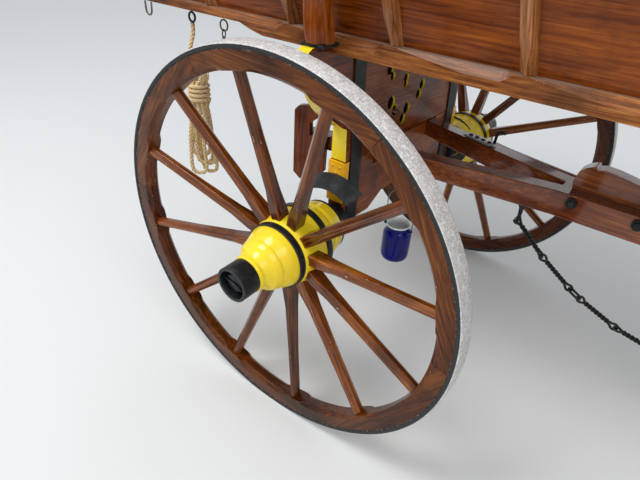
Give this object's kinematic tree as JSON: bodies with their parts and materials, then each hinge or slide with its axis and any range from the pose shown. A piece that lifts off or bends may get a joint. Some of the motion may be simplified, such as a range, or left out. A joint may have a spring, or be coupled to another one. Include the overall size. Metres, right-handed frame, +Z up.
{
  "type": "four-wheeled farm hay wagon",
  "caption": "Horse-drawn wooden hay wagon with dished spoked wheels, carved bolsters, stake sides, a steering front carriage and a draw pole.",
  "frame": {"origin": "on the ground at the middle of the whole length, draw pole included, halfway between the wheels", "axes": "+X forward to the pole tip, +Y to the left, +Z up"},
  "size_m": [6.814, 1.8556, 1.8101],
  "materials": {
    "tyre_iron": "worn",
    "black_iron": "satin",
    "bare_iron": "dull",
    "yellow_paint": "gloss",
    "yellow_plate": "gloss",
    "flap_leather": "matte",
    "blue_enamel": "gloss",
    "rope": "matte",
    "red_varnish": "gloss",
    "brown_varnish": "gloss",
    "amber_varnish": "gloss",
    "floor_wood": "matte"
  },
  "bodies": {
    "wagon": {"bolster_straps": "black_iron", "chain": "black_iron", "floor_bearers": "floor_wood", "floor_boards": "floor_wood", "front_board": "amber_varnish", "front_bolster_board": "brown_varnish", "grease_pot": "blue_enamel", "kingpin": "bare_iron", "main_posts": "brown_varnish", "pot_bail": "black_iron", "reach": "brown_varnish", "reach_irons": "black_iron", "rear_axle_arms": "black_iron", "rear_axle_bed": "brown_varnish", "rear_bolster_board": "brown_varnish", "rear_end_plates": "yellow_plate", "rear_hounds": "brown_varnish", "rear_mud_flaps": "flap_leather", "rear_uprights": "brown_varnish", "rope_drop": "rope", "rope_hank": "rope", "rope_ring": "black_iron", "side_boards": "amber_varnish", "sills": "brown_varnish", "stakes": "brown_varnish", "tail_cleats": "brown_varnish", "top_rails": "brown_varnish"},
    "front_carriage": {"front_axle_arms": "black_iron", "front_axle_bed": "brown_varnish", "front_end_plates": "yellow_plate", "front_hounds": "brown_varnish", "front_mud_flaps": "flap_leather", "pole_pin": "black_iron", "sway_bar": "brown_varnish", "turning_bolster": "brown_varnish", "wear_plate": "bare_iron"},
    "pole": {"pole": "brown_varnish", "pole_cap": "black_iron"},
    "tail_board": {"tail_board": "amber_varnish"},
    "rear_right_wheel": {"rear_right_wheel_bands": "black_iron", "rear_right_wheel_felloes": "red_varnish", "rear_right_wheel_hub": "yellow_paint", "rear_right_wheel_spokes": "red_varnish", "rear_right_wheel_tyre": "tyre_iron"},
    "rear_left_wheel": {"rear_left_wheel_bands": "black_iron", "rear_left_wheel_felloes": "red_varnish", "rear_left_wheel_hub": "yellow_paint", "rear_left_wheel_spokes": "red_varnish", "rear_left_wheel_tyre": "tyre_iron"},
    "front_right_wheel": {"front_right_wheel_bands": "black_iron", "front_right_wheel_felloes": "red_varnish", "front_right_wheel_hub": "yellow_paint", "front_right_wheel_spokes": "red_varnish", "front_right_wheel_tyre": "tyre_iron"},
    "front_left_wheel": {"front_left_wheel_bands": "black_iron", "front_left_wheel_felloes": "red_varnish", "front_left_wheel_hub": "yellow_paint", "front_left_wheel_spokes": "red_varnish", "front_left_wheel_tyre": "tyre_iron"}
  },
  "joints": [
    {"name": "rear_right_wheel_turn", "type": "hinge", "parent": "wagon", "child": "rear_right_wheel", "pos_m": [-2.54701, -0.779, 0.64963], "axis": [0, 0.9994, 0.0339], "continuous": true},
    {"name": "rear_left_wheel_turn", "type": "hinge", "parent": "wagon", "child": "rear_left_wheel", "pos_m": [-2.54701, 0.779, 0.64963], "axis": [0, 0.9994, -0.0339], "continuous": true},
    {"name": "front_right_wheel_turn", "type": "hinge", "parent": "front_carriage", "child": "front_right_wheel", "pos_m": [-0.05501, -0.779, 0.53969], "axis": [0, 0.9994, 0.0339], "continuous": true},
    {"name": "front_left_wheel_turn", "type": "hinge", "parent": "front_carriage", "child": "front_left_wheel", "pos_m": [-0.05501, 0.779, 0.53969], "axis": [0, 0.9994, -0.0339], "continuous": true},
    {"name": "steering", "type": "hinge", "parent": "wagon", "child": "front_carriage", "pos_m": [-0.05501, 0, 0.8], "axis": [0, 0, 1], "range_deg": [-40, 40]},
    {"name": "pole_lift", "type": "hinge", "parent": "front_carriage", "child": "pole", "pos_m": [0.56499, 0, 0.7683], "axis": [0, -1, 0], "range_deg": [0, 60]},
    {"name": "tail_board_slide", "type": "slide", "parent": "wagon", "child": "tail_board", "axis": [0, 0, 1], "range_m": [0, 0.4]}
  ]
}
